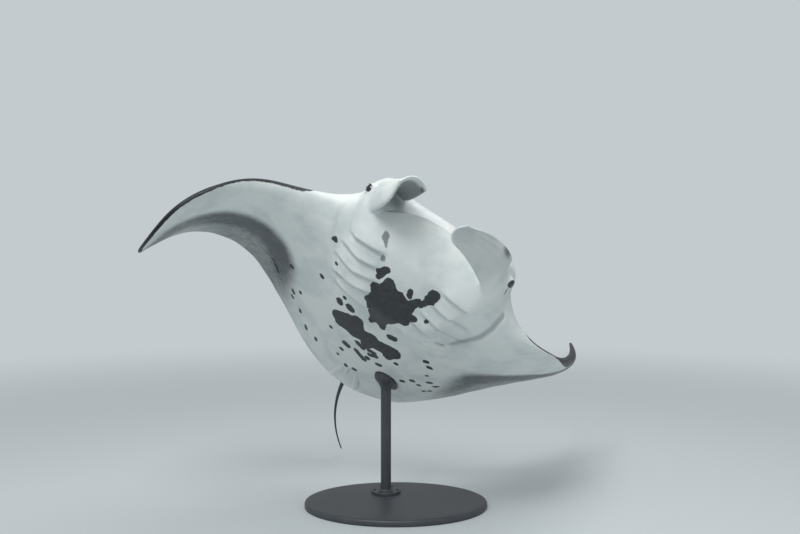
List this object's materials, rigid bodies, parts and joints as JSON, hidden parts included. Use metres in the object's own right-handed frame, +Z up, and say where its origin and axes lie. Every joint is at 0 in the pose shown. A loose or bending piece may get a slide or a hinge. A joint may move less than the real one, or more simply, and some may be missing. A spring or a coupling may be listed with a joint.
{
  "type": "manta ray",
  "caption": "Life-size reef manta ray in a banked swimming pose, white below with dark blotches and near-black above, held by one rod on a flat oval base.",
  "frame": {"origin": "on the floor under the middle of the model's bounding box", "axes": "+Z up; the head faces -Y and a little towards -X at its snout, so -Y is the viewer's side; the animal's right wing reaches to -X, its left wing to +X"},
  "size_m": [2.5394, 2.4564, 1.6782],
  "materials": {
    "belly_skin": "smooth damp skin, white with soft grey shading",
    "wing_skin": "smooth damp skin, pale below and charcoal above",
    "dark_skin": "fine-grained damp skin, charcoal to black",
    "eye": "wet gloss",
    "stand_metal": "satin black paint"
  },
  "bodies": {
    "root": {"head": "belly_skin", "trunk": "belly_skin", "wing_left_inner": "belly_skin", "wing_right_inner": "belly_skin", "pelvic_fin_left": "belly_skin", "pelvic_fin_right": "belly_skin", "wing_left_middle": "wing_skin", "wing_right_middle": "wing_skin", "cephalic_fin_left": "wing_skin", "cephalic_fin_right": "wing_skin", "wing_left_tip": "dark_skin", "wing_right_tip": "dark_skin", "dorsal_fin": "dark_skin", "tail_1": "dark_skin", "tail_2": "dark_skin", "tail_3": "dark_skin", "tail_4": "dark_skin", "eye_left": "eye", "eye_right": "eye", "stand_base": "stand_metal", "stand_foot": "stand_metal", "stand_rod": "stand_metal", "stand_cradle": "stand_metal"}
  },
  "joints": []
}
